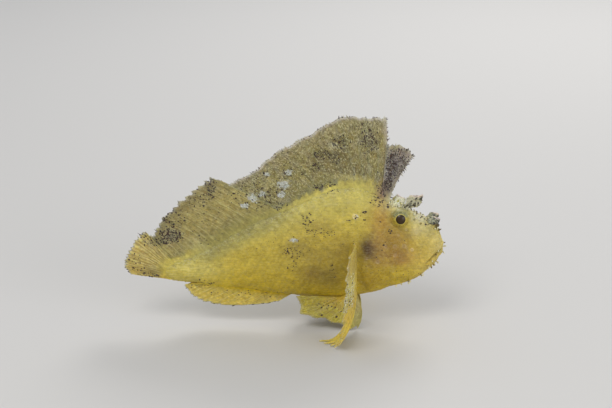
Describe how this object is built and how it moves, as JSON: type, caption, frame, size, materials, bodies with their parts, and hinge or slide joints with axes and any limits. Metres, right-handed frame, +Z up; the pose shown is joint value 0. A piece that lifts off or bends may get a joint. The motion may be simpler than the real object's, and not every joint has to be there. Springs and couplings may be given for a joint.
{
  "type": "leaf scorpionfish model",
  "caption": "Life-size still model of a small, flat-sided fish with a tall sail-like back fin, propped on spread side and belly fins.",
  "frame": {"origin": "centre of the bounding box in plan, on the floor that the fins stand on", "axes": "+X towards the snout, +Y to the fish's left, +Z up"},
  "size_m": [0.0914, 0.0548, 0.0622],
  "materials": {
    "skin": "moist skin, soft sheen",
    "fin": "thin moist membrane over rays",
    "flap": "soft skin",
    "eye": "glossy"
  },
  "bodies": {
    "root": {"head": "skin", "trunk": "skin", "tail_stalk": "skin", "eye_left": "eye", "eye_right": "eye", "dorsal_crest": "fin", "dorsal_fin_spiny": "fin", "dorsal_fin_soft": "fin", "anal_fin": "fin", "caudal_fin": "fin", "pectoral_fin_left": "fin", "pectoral_fin_right": "fin", "pelvic_fin_left": "fin", "pelvic_fin_right": "fin", "brow_flap_left": "flap", "brow_flap_right": "flap", "snout_flap_left": "flap", "snout_flap_right": "flap"}
  },
  "joints": []
}
